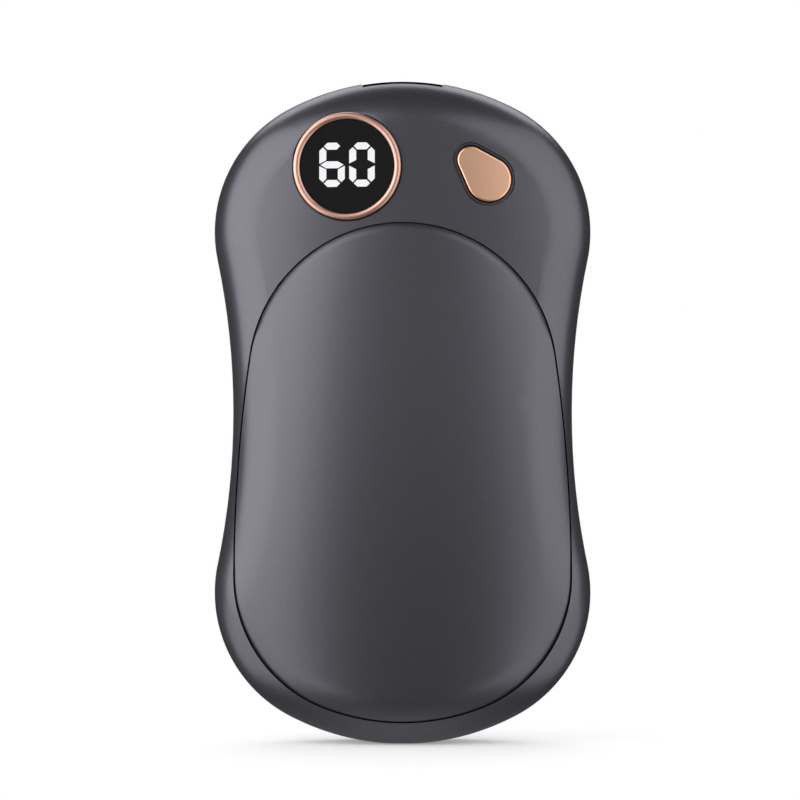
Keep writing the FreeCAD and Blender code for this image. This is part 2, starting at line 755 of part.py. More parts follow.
egg = prism("egg", egg_outline, "skin_inset", through_forward)
ledge_sweep = ("-cut_overrun", "pillow_height + 2 * cut_overrun")
ledge_hole = prism("ledge_hole", egg_outline, "ledge_width", ledge_sweep)
tape_disc = prism("tape_disc", egg_outline, "tape_margin", through_forward)
film_disc = prism("film_disc", egg_outline, "film_margin", through_forward)
plate_form = rounded("plate_form", common("plate_blank", pillow, egg), "plate_edge_round", is_front_rim)
front_plate = cut("front_plate", plate_form, seat_form)
bond_gap = cut("bond_gap", seat_form, bond_form)
front_tape = common("front_tape", bond_gap, cut("tape_ring", tape_disc, ledge_hole))
front_film = common("front_film", bond_gap, film_disc)
sub_part("front_heat_plate", front_plate)
sub_part("rear_heat_plate", mirrored("rear_plate", front_plate))
sub_part("front_plate_tape", front_tape)
sub_part("rear_plate_tape", mirrored("rear_tape", front_tape))
sub_part("front_heater_film", front_film)
sub_part("rear_heater_film", mirrored("rear_film", front_film))


# The frame that the round display stands in: its middle on the skin, its axis square to the skin

tilt_across = math.asin(-value("display_offset") / value("shell_across_radius"))
tilt_up = math.asin(value("display_height") / value("display_swing"))
display_out = Vector(math.sin(tilt_across), -math.cos(tilt_across) * math.cos(tilt_up),
                     math.cos(tilt_across) * math.sin(tilt_up))
display_right = Vector(math.cos(tilt_across), math.sin(tilt_across) * math.cos(tilt_up),
                       -math.sin(tilt_across) * math.sin(tilt_up))
display_turn = FreeCAD.Rotation(display_right, display_out.cross(display_right), display_out, "ZXY")
display_middle = Vector(-value("display_offset"), -value("display_level"), value("display_height"))
display_frame = FreeCAD.Placement(display_middle, display_turn)


def display_disc(name, radius, start, length):
    """A disc of the display, from one height above the skin by a length."""
    disc = doc.addObject("Part::Cylinder", name)
    disc.Placement = display_frame.multiply(FreeCAD.Placement(Vector(0, 0, value(start)), FreeCAD.Rotation()))
    return bind(disc, {"Radius": radius, "Height": length})


def bar_corners():
    """The corners of a figure's seven bars, from the figure's middle."""
    right, top = value("digit_width") / 2, value("digit_height") / 2
    thick, gap = value("bar_thickness"), value("bar_gap")
    inner, middle = right - thick, right - thick / 2
    top_bar = [(middle - gap, top - thick / 2), (inner - gap, top), (gap - inner, top),
               (gap - middle, top - thick / 2), (gap - inner, top - thick), (inner - gap, top - thick)]
    side_bar = [(middle, top - thick / 2 - gap), (right, top - thick - gap), (right, gap),
                (inner, thick / 2 + gap), (inner, top - thick - gap)]
    middle_bar = [(right - gap, 0), (inner, thick / 2), (-inner, thick / 2),
                  (gap - right, 0), (-inner, -thick / 2), (inner, -thick / 2)]
    return {
        "top": top_bar,
        "foot": [(x, -y) for x, y in top_bar],
        "upper_right": side_bar,
        "upper_left": [(-x, y) for x, y in side_bar],
        "lower_right": [(x, -y) for x, y in side_bar],
        "lower_left": [(-x, -y) for x, y in side_bar],
        "middle": middle_bar,
    }


def bars(name, names_by_figure):
    """The named bars of the two figures, as deep as the window."""
    step = (value("digit_width") + value("digit_gap")) / 2
    back, depth, rise = value("window_back"), value("window_thickness"), value("digit_rise")
    corners = bar_corners()
    solids = []
    for side, bar_names in zip((-1, 1), names_by_figure):
        for bar_name in bar_names:
            points = [Vector(x + side * step, y + rise, back) for x, y in corners[bar_name]]
            face = Part.Face(Part.makePolygon(points + points[:1]))
            solids.append(face.extrude(Vector(0, 0, depth)))
    feature = doc.addObject("Part::Feature", name)
    feature.Shape = Part.makeCompound(solids)
    feature.Placement = display_frame
    return feature


def is_ring_land(shape, edge):
    """Whether an edge runs round the ring's raised land."""
    if edge.Curve.TypeId != "Part::GeomCircle":
        return False
    height = (edge.Curve.Center - display_middle).dot(display_out)
    return math.isclose(height, value("ring_rise"), rel_tol=LEVEL_SHARE)


ring_blank = cut(
    "ring_blank",
    display_disc("ring_body", "ring_outer_radius", "ring_foot", "ring_rise + ring_seat_depth"),
    display_disc("ring_bore", "ring_inner_radius", "bore_foot", "shell_wall + 2 * cut_overrun"))
sub_part("display_ring", rounded("ring", ring_blank, "ring_round", is_ring_land))
lit_bars = bars("lit_bars", (LIT_SIX, LIT_ZERO))
unlit_bars = bars("unlit_bars", (UNLIT_SIX, UNLIT_ZERO))
window_disc = display_disc("window_disc", "window_radius", "window_back", "window_thickness")
sub_part("display_window", cut("window", window_disc, lit_bars, unlit_bars))
sub_part("display_segments_lit", lit_bars)
sub_part("display_segments_unlit", unlit_bars)
behind_board_front = box("behind_board_front", ("-half_width", "body_width"),
                         ("board_front - board_depth", "board_depth"), ("0", "half_length"))
block_blank = display_disc("block_blank", "block_radius", "block_foot", "board_depth")
sub_part("display_block", cut("block", block_blank, behind_board_front))


# Power button and its switch

button_sweep = ("plunger_top", "shell_crown_height - plunger_top")
cap = rounded("cap", common("cap_blank", prism("cap_prism", drop_outline, "cap_outset", button_sweep), skin),
              "button_edge_round", is_front_rim)
flange = prism("flange", drop_outline, "flange_outset", ("plunger_top", "flange_thickness"))
sub_part("power_button", fuse("button", cap, flange))
switch_across = ("press_across - switch_width / 2", "switch_width")
switch_up = ("press_height - switch_width / 2", "switch_width")
switch_bore = post("switch_bore", "switch_plunger_radius + switch_clearance", "press_across", "press_height",
                   ("switch_floor", "switch_base_height"))
switch_block = box("switch_block", switch_across, ("board_front", "switch_base_height"), switch_up)
switch_lid = box("switch_lid", switch_across, ("switch_top", "switch_cover_thickness"), switch_up)
sub_part("switch_base", cut("switch_socket", switch_block, switch_bore))
sub_part("switch_cover", cut("switch_plate", switch_lid, switch_bore))
sub_part("switch_plunger", post("plunger", "switch_plunger_radius", "press_across", "press_height",
                                ("plunger_foot", "plunger_top - plunger_foot")))


# Charging inlet

def stadium(name, shrink, up):
    """A bar along Z with the inlet's rounded section, drawn in by a formula."""
    half = f"(usb_half_height - ({shrink}))"
    flat = box(name + "_flat", ("-usb_half_flat", "2 * usb_half_flat"),
               (f"usb_level - {half}", f"2 * {half}"), up)
    ends = [upright(name + "_end", half, f"{side} * usb_half_flat", "usb_level", up) for side in (-1, 1)]
    return fuse(name, flat, *ends)


usb_space = stadium("usb_space", "usb_wall", ("usb_rear - cut_overrun", "usb_length + 2 * cut_overrun"))
sub_part("usb_shell", cut("usb_tube", stadium("usb_outer", "0", ("usb_rear", "usb_length")), usb_space))
usb_tongue = box("usb_tongue", ("-usb_tongue_width / 2", "usb_tongue_width"),
                 ("usb_level - usb_tongue_thickness / 2", "usb_tongue_thickness"),
                 ("usb_rear", "usb_back_length + usb_tongue_length"))
usb_back = stadium("usb_back", "usb_wall", ("usb_rear", "usb_back_length"))
sub_part("usb_insulator", fuse("usb_core", usb_back, usb_tongue))
port_up = ("usb_rear", "usb_length + cut_overrun")
port_half = common("port_half", cut("port_layer", port_form, wall_form),
                   box("port_block", ("-port_width / 2", "port_width"), ("0", "port_depth / 2"), port_up))
port_blank = fuse("port_blank", port_half, mirrored("port_rear_half", port_half))
sub_part("port_panel", cut("port", port_blank, stadium("port_hole", "-usb_clearance", port_up)))
port_opening = box("port_opening", ("-port_width / 2 - port_clearance", "port_width + 2 * port_clearance"),
                   ("-port_depth / 2", "port_depth"), port_up)


# Casing shells

def posts(name, radius, places, forward):
    """Round posts or holes at several places."""
    return group(name, [post(name + "_one", radius, across, up, forward) for across, up in places])


seat_sweep = ("seat_floor", "pillow_height")
seat = cut("seat", prism("seat_prism", egg_outline, "opening_inset", seat_sweep), bond_form)
foot_cut = box("foot_cut", ("-half_width", "body_width"),
               ("-cut_overrun", "shell_crown_height + cut_overrun"),
               ("-body_length", "half_length + foot_flat_depth"))
shell_half = cut("shell_half", skin, wall_form, seat, ledge_hole, foot_cut)
rebate = prism("rebate", casing_outline, "rebate_inset",
               ("-cut_overrun", "cut_overrun + lip_height + lip_clearance"))
forward_reach = "(shell_crown_height + cut_overrun)"
screw_posts = common(
    "screw_posts", bond_form,
    posts("screw_post", "post_radius", SCREW_PLACES, ("half_ear", forward_reach)))
board_posts = common(
    "board_posts", bond_form,
    posts("board_post", "board_post_radius", BOARD_POST_PLACES, ("board_front", forward_reach)))
collar_sweep = ("collar_level", "shell_crown_height - collar_level + cut_overrun")
collar = common("collar", prism("collar_prism", drop_outline, "collar_outset", collar_sweep), groove_form)
hole_sweep = ("plunger_top", "shell_crown_height - plunger_top + cut_overrun")
front_rebated = cut("front_rebated", shell_half, rebate)
front_joined = fuse("front_joined", front_rebated, screw_posts, board_posts, collar)
bezel_groove = cut("bezel_groove", prism("groove_prism", drop_outline, "groove_outset", hole_sweep),
                   prism("bezel_prism", drop_outline, "bezel_outset", hole_sweep), groove_form)
sub_part("front_shell", cut(
    "front_casing", front_joined,
    posts("screw_pilots", "screw_radius", SCREW_PLACES, ("half_ear", "screw_bite")),
    posts("board_pilots", "board_screw_radius", BOARD_POST_PLACES, ("board_front", "board_screw_bite")),
    display_disc("ring_seat", "ring_outer_radius + ring_clearance", "ring_foot",
                 "ring_seat_depth + cut_overrun"),
    display_disc("display_bore", "ring_inner_radius", "bore_foot", "shell_wall + 2 * cut_overrun"),
    prism("button_hole", drop_outline, "hole_outset", hole_sweep),
    bezel_groove,
    port_opening))
lip_sweep = ("-lip_root", "lip_root + lip_height")
lip = cut("lip", prism("lip_prism", casing_outline, "lip_inset", lip_sweep),
          prism("lip_hole", casing_outline, "wall_inset", lip_sweep))
rear_bosses = common(
    "rear_bosses", rear_bond_form,
    posts("rear_boss", "boss_radius", SCREW_PLACES, ("-half_ear - " + forward_reach, forward_reach)))
rear_joined = fuse("rear_joined", mirrored("rear_half", shell_half), lip, rear_bosses)
sub_part("rear_shell", cut(
    "rear_casing", rear_joined,
    posts("screw_holes", "screw_radius + screw_clearance", SCREW_PLACES, ("-screw_seat", "screw_seat")),
    posts("screw_sinks", "screw_head_radius + screw_clearance", SCREW_PLACES,
          ("-screw_seat - " + forward_reach, forward_reach)),
    port_opening))


def screws(name, radius, head_radius, head_height, places, seat_level, reach):
    """Round-headed screws driven forward, one at each place."""
    members = []
    for across, up in places:
        shank = post(name + "_shank", radius, across, up, (seat_level, reach))
        head = post(name + "_head", head_radius, across, up, (f"{seat_level} - {head_height}", head_height))
        members.append(fuse(name + "_one", shank, head))
    return group(name, members)


sub_part("shell_screws", screws(
    "casing_screws", "screw_radius", "screw_head_radius", "screw_head_height", SCREW_PLACES,
    "-screw_seat", "screw_seat + half_ear + screw_bite - screw_clearance"))


# Control board and the parts on it

board_slab = common(
    "board_slab", prism("board_prism", casing_outline, "board_inset", ("board_rear", "board_thickness")),
    box("board_space", ("-half_width", "body_width"), ("board_rear", "board_thickness"),
        ("board_foot", "board_head - board_foot")))
sub_part("control_board", cut(
    "board", board_slab,
    posts("board_holes", "board_screw_radius + screw_clearance", BOARD_POST_PLACES,
          ("board_rear - cut_overrun", "board_thickness + 2 * cut_overrun"))))
sub_part("board_screws", screws("board_fixings", "board_screw_radius", "board_screw_head_radius",
                                "board_screw_head_height", BOARD_POST_PLACES, "board_rear",
                                "board_thickness + board_screw_bite - screw_clearance"))
sub_part("control_chip", box("chip", ("-board_part_across - chip_width / 2", "chip_width"),
                             ("board_rear - chip_height", "chip_height"),
                             ("board_part_height - chip_width / 2", "chip_width")))
inductor_block = box("inductor_block", ("board_part_across - inductor_width / 2", "inductor_width"),
                     ("board_rear - inductor_height", "inductor_height"),
                     ("board_part_height - inductor_width / 2", "inductor_width"))
sub_part("power_inductor", rounded("inductor", inductor_block, "inductor_round", runs_forward))
sub_part("board_capacitors", group("capacitors", [
    box("capacitor", (f"{step} * capacitor_pitch - capacitor_width / 2", "capacitor_width"),
        ("board_rear - capacitor_height", "capacitor_height"),
        ("board_part_height - capacitor_length / 2", "capacitor_length")) for step in (-1, 0, 1)]))


def connector(name, across, level):
    """A lead connector at the board's foot."""
    return box(name, (f"{across} - connector_width / 2", "connector_width"),
               (f"{level} - connector_height / 2", "connector_height"),
               ("connector_foot", "connector_length"))


sub_part("front_heater_connector", connector(
    "front_socket", "front_connector_across", "front_connector_level"))
sub_part("rear_heater_connector", connector("rear_socket", "connector_across", "rear_connector_level"))
sub_part("battery_connector", connector("battery_socket", "-connector_across", "rear_connector_level"))


# Cells, their frame, pads and protection board

def is_any(shape, edge):
    """Every edge."""
    return True


cell_across = ("-cell_half_width", "2 * cell_half_width")
cell_up = ("cell_foot", "cell_length")
front_cell_block = box("front_cell_block", cell_across,
                       ("cell_tape_thickness / 2", "cell_thickness"), cell_up)
front_cell = rounded("front_cell", front_cell_block, "cell_round", is_any)
sub_part("battery_cell_front", front_cell)
sub_part("battery_cell_rear", mirrored("rear_cell", front_cell))
sub_part("cell_tape", box(
    "tape_between", ("-cell_half_width + cell_tape_margin", "2 * (cell_half_width - cell_tape_margin)"),
    ("-cell_tape_thickness / 2", "cell_tape_thickness"),
    ("cell_foot + cell_tape_margin", "cell_length - 2 * cell_tape_margin")))
front_pad = box("front_pad", ("-cell_half_width + pad_margin", "2 * (cell_half_width - pad_margin)"),
                ("cell_front", "pad_thickness"), ("cell_foot + pad_margin", "cell_length - 2 * pad_margin"))
sub_part("front_insulation_pad", front_pad)
sub_part("rear_insulation_pad", mirrored("rear_pad", front_pad))
sub_part("cell_tabs", group("tabs", [
    box("tab", (f"{across} * cell_half_width / 2 - tab_width / 2", "tab_width"),
        (f"{level} * cell_front / 2 - tab_depth / 2", "tab_depth"), ("cell_head", "tab_height"))
    for across in (-1, 1) for level in (-1, 1)]))
sub_part("protection_board", box(
    "protection", ("-cell_half_width + protection_margin", "2 * (cell_half_width - protection_margin)"),
    ("-cradle_half_height", "2 * cradle_half_height"), ("protection_foot", "protection_thickness")))
cradle_depth = ("-cradle_half_height", "2 * cradle_half_height")
cradle_block = rounded(
    "cradle_block", box("cradle_outer", ("-cradle_half", "2 * cradle_half"), cradle_depth,
                        ("cradle_foot", "cradle_head - cradle_foot")), "cradle_corner", runs_forward)
cradle_space = box("cradle_space", ("-cradle_inner_half", "2 * cradle_inner_half"),
                   ("-cradle_half_height - cut_overrun", "2 * (cradle_half_height + cut_overrun)"),
                   ("cell_foot", "cradle_inner_head - cell_foot"))
ear_depth = ("-half_ear", "ear_thickness")
upper_arm_up = ("cradle_inner_head", "upper_post_height - cradle_inner_head")
lower_arm_up = ("lower_post_height", "cell_foot - lower_post_height")
arms = [box("ear_arm", (f"{across} - post_radius", "2 * post_radius"), ear_depth,
            upper_arm_up if up == "upper_post_height" else lower_arm_up) for across, up in SCREW_PLACES]
ears = [post("ear_end", "post_radius", across, up, ear_depth) for across, up in SCREW_PLACES]
lead_notch = box("lead_notch", ("-connector_across - connector_width / 2", "connector_width"),
                 ("-cradle_half_height - cut_overrun", "cradle_half_height + cut_overrun"),
                 ("cradle_inner_head - cut_overrun", "cradle_wall + 2 * cut_overrun"))
cradle_frame = fuse("cradle_frame", cut("cradle_walls", cradle_block, cradle_space), *arms, *ears)
sub_part("battery_cradle", cut(
    "cradle", cradle_frame, lead_notch,
    posts("ear_holes", "screw_radius + screw_clearance", SCREW_PLACES,
          ("-ear_thickness", "2 * ear_thickness"))))


# Sensors and leads

sensor_sweep = "shell_crown_height"
sub_part("thermistor", common(
    "sensor", box("sensor_block", ("thermistor_across - thermistor_width / 2", "thermistor_width"),
                  ("thermistor_level", sensor_sweep), ("plate_middle", "thermistor_length")), bond_form))
sub_part("thermal_fuse", common(
    "fuse_link", box("fuse_block", ("-fuse_width / 2", "fuse_width"),
                     ("-fuse_level - " + sensor_sweep, sensor_sweep),
                     ("plate_middle", "fuse_length")), rear_bond_form))


def lead_path(points):
    """A wire of straight runs joined by tangent arcs."""
    bend_share = 0.45
    edges = []
    start = points[0]
    for before, corner, after in zip(points, points[1:], points[2:]):
        come, leave = (before - corner), (after - corner)
        trim = bend_share * min(come.Length, leave.Length)
        come.normalize()
        leave.normalize()
        middle = (come + leave).normalize()
        half_angle = come.getAngle(leave) / 2
        bend_start, bend_end = corner + come * trim, corner + leave * trim
        radius = trim * math.tan(half_angle)
        crest = corner + middle * (trim / math.cos(half_angle) - radius)
        edges.append(Part.makeLine(start, bend_start))
        edges.append(Part.Arc(bend_start, crest, bend_end).toShape())
        start = bend_end
    edges.append(Part.makeLine(start, points[-1]))
    return Part.Wire(edges)


def lead(name, radius, places, stations):
    """Round leads side by side, each through (level, height) stations in its own upright plane."""
    solids = []
    for across in places:
        points = [Vector(across, -level, up) for level, up in stations]
        path = lead_path(points)
        section = Part.Wire(Part.makeCircle(value(radius), points[0], points[1] - points[0]))
        sweep = Part.BRepOffsetAPI.MakePipeShell(path)
        sweep.add(section)
        sweep.build()
        sweep.makeSolid()
        solids.append(sweep.shape())
    feature = doc.addObject("Part::Feature", name)
    feature.Shape = Part.makeCompound(solids)
    return feature


def pair(middle, pitch):
    """Two places either side of a middle."""
    return (middle - value(pitch) / 2, middle + value(pitch) / 2)


bend_height, socket_foot = value("lead_bend_height"), value("connector_foot")
lead_start, bend_level = value("lead_start"), value("lead_bend_level")
front_level, rear_level = value("front_connector_level"), value("rear_connector_level")
battery_level, sensor_level = value("battery_lead_level"), value("sensor_lead_level")
hop_level, solder_height = value("sensor_hop_level"), value("sensor_solder_height")
front_run = [(value("shell_crown_height"), lead_start), (bend_level, lead_start),
             (front_level, bend_height), (front_level, socket_foot)]
rear_run = [(-value("shell_crown_height"), lead_start), (-bend_level, lead_start),
            (rear_level, bend_height), (rear_level, socket_foot)]
battery_run = [(battery_level, value("protection_head")), (battery_level, lead_start),
               (rear_level, bend_height), (rear_level, socket_foot)]
sensor_run = [(sensor_level, value("thermistor_head")), (sensor_level, lead_start),
              (hop_level, bend_height), (hop_level, solder_height), (value("board_front"), solder_height)]
front_places = pair(value("front_connector_across"), "lead_pitch")
front_pair = lead("front_lead_run", "lead_radius", front_places, front_run)
rear_pair = lead("rear_lead_run", "lead_radius", pair(value("connector_across"), "lead_pitch"), rear_run)
whole_bond_form = fuse("whole_bond_form", bond_form, rear_bond_form)
sub_part("front_heater_leads", common("front_leads", front_pair, bond_form))
sub_part("rear_heater_leads", common("rear_leads", rear_pair, whole_bond_form))
minus_place, plus_place = pair(-value("connector_across"), "lead_pitch")
sub_part("battery_lead_negative", lead("minus_lead", "lead_radius", [minus_place], battery_run))
sub_part("battery_lead_positive", lead("plus_lead", "lead_radius", [plus_place], battery_run))
sub_part("thermistor_leads", lead("sensor_leads", "sensor_lead_radius",
                                  pair(value("thermistor_across"), "sensor_lead_pitch"), sensor_run))


# Check everything, then write the pieces

doc.recompute()
for obj in doc.Objects:
    if "Invalid" in obj.State or "Error" in obj.State:
        raise RuntimeError(f"{obj.Name} is in state {obj.State}")
for piece in sub_parts:
    if piece.Shape.isNull() or not piece.Shape.isValid():
        raise RuntimeError(f"{piece.Label} has no valid shape")
os.makedirs("parts", exist_ok=True)
for piece in sub_parts:
    piece.Shape.exportStep(f"parts/{piece.Label}.step")
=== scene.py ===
import logging
import math
from dataclasses import dataclass, field
from enum import Enum
from typing import Any

import bmesh
import bpy
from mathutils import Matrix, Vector


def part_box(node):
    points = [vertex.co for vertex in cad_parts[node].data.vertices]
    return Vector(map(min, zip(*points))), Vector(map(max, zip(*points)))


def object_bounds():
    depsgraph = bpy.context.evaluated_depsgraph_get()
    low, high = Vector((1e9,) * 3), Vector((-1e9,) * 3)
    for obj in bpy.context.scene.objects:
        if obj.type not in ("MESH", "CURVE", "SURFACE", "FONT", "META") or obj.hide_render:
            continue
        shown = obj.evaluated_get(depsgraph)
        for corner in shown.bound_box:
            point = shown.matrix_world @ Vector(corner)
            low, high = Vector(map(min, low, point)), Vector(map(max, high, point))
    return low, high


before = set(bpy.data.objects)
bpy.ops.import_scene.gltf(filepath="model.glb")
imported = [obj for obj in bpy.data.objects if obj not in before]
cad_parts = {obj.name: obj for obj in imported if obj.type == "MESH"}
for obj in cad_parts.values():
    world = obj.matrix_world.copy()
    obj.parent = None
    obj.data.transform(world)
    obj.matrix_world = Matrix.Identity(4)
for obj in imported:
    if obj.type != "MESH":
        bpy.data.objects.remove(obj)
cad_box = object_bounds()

log = logging.getLogger("hand_warmer")

Tree = bpy.types.NodeTree
Socket = bpy.types.NodeSocket

MM = 0.001
WHITE = "ffffff"
# A mix node's sockets for two colours and their mix: by name they can't be told from those for numbers
COLOUR_A, COLOUR_B, COLOUR_MIX = 6, 7, 2


class Pattern(Enum):
    """How a finish varies: a texture node, its output, and the share of its unit that one feature takes."""

    FLECK = ("ShaderNodeTexNoise", "Fac", 1.0)
    CELLS = ("ShaderNodeTexVoronoi", "Distance", 1.0)
    WEAVE = ("ShaderNodeTexChecker", "Fac", 1.0)
    # The wave node runs through 20 radians in one unit
    TRACKS = ("ShaderNodeTexWave", "Fac", math.tau / 20)


def linear(hex_colour: str) -> tuple[float, float, float, float]:
    """Turn an sRGB hex value into linear colour.

    Args:
        hex_colour: Six hex digits, such as "4a4a4f".

    Returns:
        Linear red, green, blue and an alpha of one.
    """
    parts = [int(hex_colour[i:i + 2], 16) / 255 for i in (0, 2, 4)]
    red, green, blue = [part / 12.92 if part <= 0.04045 else ((part + 0.055) / 1.055) ** 2.4
                        for part in parts]
    return red, green, blue, 1.0


def add_node(tree: Tree, kind: str, settings: dict[str | int, Any] | None = None) -> bpy.types.Node:
    """Add a node with its settings and links.

    Args:
        tree: The node tree.
        kind: The node's type name.
        settings: Values by attribute name, input name or input number. A socket is linked to its input.

    Returns:
        The new node.
    """
    node = tree.nodes.new(kind)
    for name, value in (settings or {}).items():
        if isinstance(value, Socket):
            tree.links.new(value, node.inputs[name])
        elif isinstance(name, str) and hasattr(node, name):
            setattr(node, name, value)
        else:
            node.inputs[name].default_value = value
    return node


def new_tree(name: str) -> tuple[bpy.types.Material, Tree]:
    """Start an empty node material.

    Args:
        name: The material's name.

    Returns:
        The material and its node tree.
    """
    material = bpy.data.materials.new(name)
    material.use_nodes = True
    material.node_tree.nodes.clear()
    return material, material.node_tree


@dataclass(frozen=True)
class SoftBorder:
    """Shading that runs over the border of two curves without a step.

    It starts at the first slope and is whole at the second. A slope is the cosine of the angle between the
    surface's normal and straight forward or back, so it is one where the surface is square on.
    """

    reach_mm: float = 2.0
    samples: int = 8
    slopes: tuple[float, float] = (0.8, 0.9)

    def slope(self, tree: Tree) -> Socket:
        """Measure how squarely the surface looks forward or back.

        Args:
            tree: The material's node tree.

        Returns:
            The slope's socket.
        """
        form = add_node(tree, "ShaderNodeNewGeometry")
        axes = add_node(tree, "ShaderNodeSeparateXYZ", {"Vector": form.outputs["Normal"]})
        return add_node(tree, "ShaderNodeMath", {"operation": "ABSOLUTE", 0: axes.outputs["Y"]}).outputs[0]

    def reach(self, tree: Tree) -> Socket:
        """Work out how far round each point the shading is gathered.

        Args:
            tree: The material's node tree.

        Returns:
            The reach's socket, in metres.
        """
        start, whole = self.slopes
        square_on = add_node(tree, "ShaderNodeMapRange", {
            "Value": self.slope(tree), "From Min": start, "From Max": whole, "To Max": self.reach_mm * MM})
        return square_on.outputs["Result"]

    def normal(self, tree: Tree) -> Socket:
        """Gather the normal that the light sees.

        Args:
            tree: The material's node tree.

        Returns:
            The normal's socket.
        """
        gathered = add_node(tree, "ShaderNodeBevel", {"samples": self.samples, "Radius": self.reach(tree)})
        return gathered.outputs["Normal"]


@dataclass(frozen=True)
class ShoulderBorder(SoftBorder):
    """The soft border on the casing's shoulders, kept off the edges of seam, button and display."""

    flat_slopes: tuple[float, float] = (0.982, 0.976)
    height_mm: tuple[float, float] = (20.0, 25.0)

    def reach(self, tree: Tree) -> Socket:
        """Draw the reach in where the shell is flat, below the shoulders and round the display's ring.

        Args:
            tree: The material's node tree.

        Returns:
            The reach's socket, in metres.
        """
        low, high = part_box("display_ring")
        middle, radius = (low + high) / 2, (high.x - low.x) / 2
        place = add_node(tree, "ShaderNodeTexCoord").outputs["Object"]
        axes = add_node(tree, "ShaderNodeSeparateXYZ", {"Vector": place})
        on_front = add_node(tree, "ShaderNodeCombineXYZ", {"X": axes.outputs["X"], "Z": axes.outputs["Z"]})
        from_ring = add_node(tree, "ShaderNodeVectorMath", {
            "operation": "DISTANCE", 0: on_front.outputs["Vector"], 1: (middle.x, 0, middle.z)})
        reach = super().reach(tree)
        for measure, start, whole in (
                (self.slope(tree), *self.flat_slopes),
                (axes.outputs["Z"], *[height * MM for height in self.height_mm]),
                (from_ring.outputs["Value"], radius, radius + self.reach_mm * MM)):
            reach = add_node(tree, "ShaderNodeMapRange", {
                "Value": measure, "From Min": start, "From Max": whole, "To Max": reach}).outputs["Result"]
        return reach


@dataclass(frozen=True)
class Finish:
    """A surface between two close shades, with an uneven gloss and a shallow relief in one pattern.

    Its edge is the tint of what it mirrors at a shallow angle.
    """

    name: str
    light: str
    dark: str
    grain_mm: float
    relief_mm: float
    roughness: tuple[float, float]
    metallic: float = 0.0
    specular: float = 0.5
    glow: float = 0.0
    edge: str = WHITE
    border: SoftBorder | None = None
    pattern: Pattern = Pattern.FLECK

    def material(self) -> bpy.types.Material:
        """The finish's material, made when it is first asked for."""
        return bpy.data.materials.get(self.name) or self.make()

    def make(self) -> bpy.types.Material:
        """Make the material: the pattern drives its shade, its gloss and its relief.

        Returns:
            The new material.
        """
        material, tree = new_tree(self.name)
        kind, output, share = self.pattern.value
        place = add_node(tree, "ShaderNodeTexCoord").outputs["Object"]
        grain = add_node(tree, kind, {"Scale": share / (self.grain_mm * MM), "Vector": place})
        amount = grain.outputs[output]
        mixed = add_node(tree, "ShaderNodeMix", {
            "data_type": "RGBA", "Factor": amount,
            COLOUR_A: linear(self.dark), COLOUR_B: linear(self.light)})
        shade = mixed.outputs[COLOUR_MIX]
        smoothest, roughest = self.roughness
        gloss = add_node(tree, "ShaderNodeMapRange", {
            "Value": amount, "To Min": smoothest, "To Max": roughest})
        relief = add_node(tree, "ShaderNodeBump", {
            "Strength": 1.0, "Distance": self.relief_mm * MM, "Height": amount})
        if self.border:
            tree.links.new(self.border.normal(tree), relief.inputs["Normal"])
        shader = add_node(tree, "ShaderNodeBsdfPrincipled", {
            "Base Color": shade, "Metallic": self.metallic, "Roughness": gloss.outputs["Result"],
            "Specular IOR Level": self.specular, "Specular Tint": linear(self.edge),
            "Normal": relief.outputs["Normal"], "Emission Color": shade, "Emission Strength": self.glow})
        add_node(tree, "ShaderNodeOutputMaterial", {"Surface": shader.outputs["BSDF"]})
        return material


# Drawn steel under bright tin: a pale grey with soft reflections
TINNED_STEEL = Finish("tinned_steel", "c9c9c8", "b5b5b4", grain_mm=0.3, relief_mm=0.002,
                      roughness=(0.25, 0.38), metallic=1.0)
# Moulded black ABS with a spark-eroded grain, which takes all shine off it
BLACK_ABS = Finish("moulded_black_abs", "0e0e0f", "0a0a0b", grain_mm=0.25, relief_mm=0.004,
                   roughness=(0.8, 0.9), specular=0.0)
# Moulded nylon: cream, a little waxy
NYLON = Finish("moulded_nylon", "e3dfd0", "d9d4c3", grain_mm=0.4, relief_mm=0.004, roughness=(0.4, 0.5))
# Black acrylic foam tape: dull, with fine cells
FOAM_TAPE = Finish("acrylic_foam_tape", "2a2a2a", "202020", grain_mm=0.3, relief_mm=0.01,
                   roughness=(0.7, 0.85), pattern=Pattern.CELLS)
# Glass-fibre board under green solder resist, its weave just showing
LAMINATE = Finish("solder_resist_on_laminate", "1e6b3a", "1a6235", grain_mm=0.5, relief_mm=0.004,
                  roughness=(0.3, 0.4), pattern=Pattern.WEAVE)


def graphite_lacquer(ground: str, fleck_mm: float, relief_mm: float, border: SoftBorder) -> Finish:
    """Mix the sprayed lacquer that the casing and the heat plates share.

    Args:
        ground: What it is sprayed on.
        fleck_mm: The size of its fleck.
        relief_mm: How far the fleck stands up.
        border: How its shading runs from a crown to the rim.

    Returns:
        The lacquer's finish.
    """
    # Satin, with a soft metal sheen, and its fleck drawn coarser than it is so that it shows
    return Finish(f"satin_lacquer_on_{ground}", "5c5a61", "525157", grain_mm=fleck_mm, relief_mm=relief_mm,
                  roughness=(0.29, 0.34), metallic=0.8, specular=0.8, edge="b0b0b0", border=border)


@dataclass
class SubAssembly:
    """Packed pieces that belong together: they keep their CAD shapes, and each is dressed in its finish."""

    def finishes(self) -> dict[str, Finish]:
        """The finish of each piece, by node."""
        raise NotImplementedError

    def build(self) -> None:
        """Dress every piece and report it."""
        for node, finish in self.finishes().items():
            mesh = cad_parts[node].data
            mesh.materials.clear()
            mesh.materials.append(finish.material())
            log.info("%s: dressed %s in %s", type(self).__name__, node, finish.name)


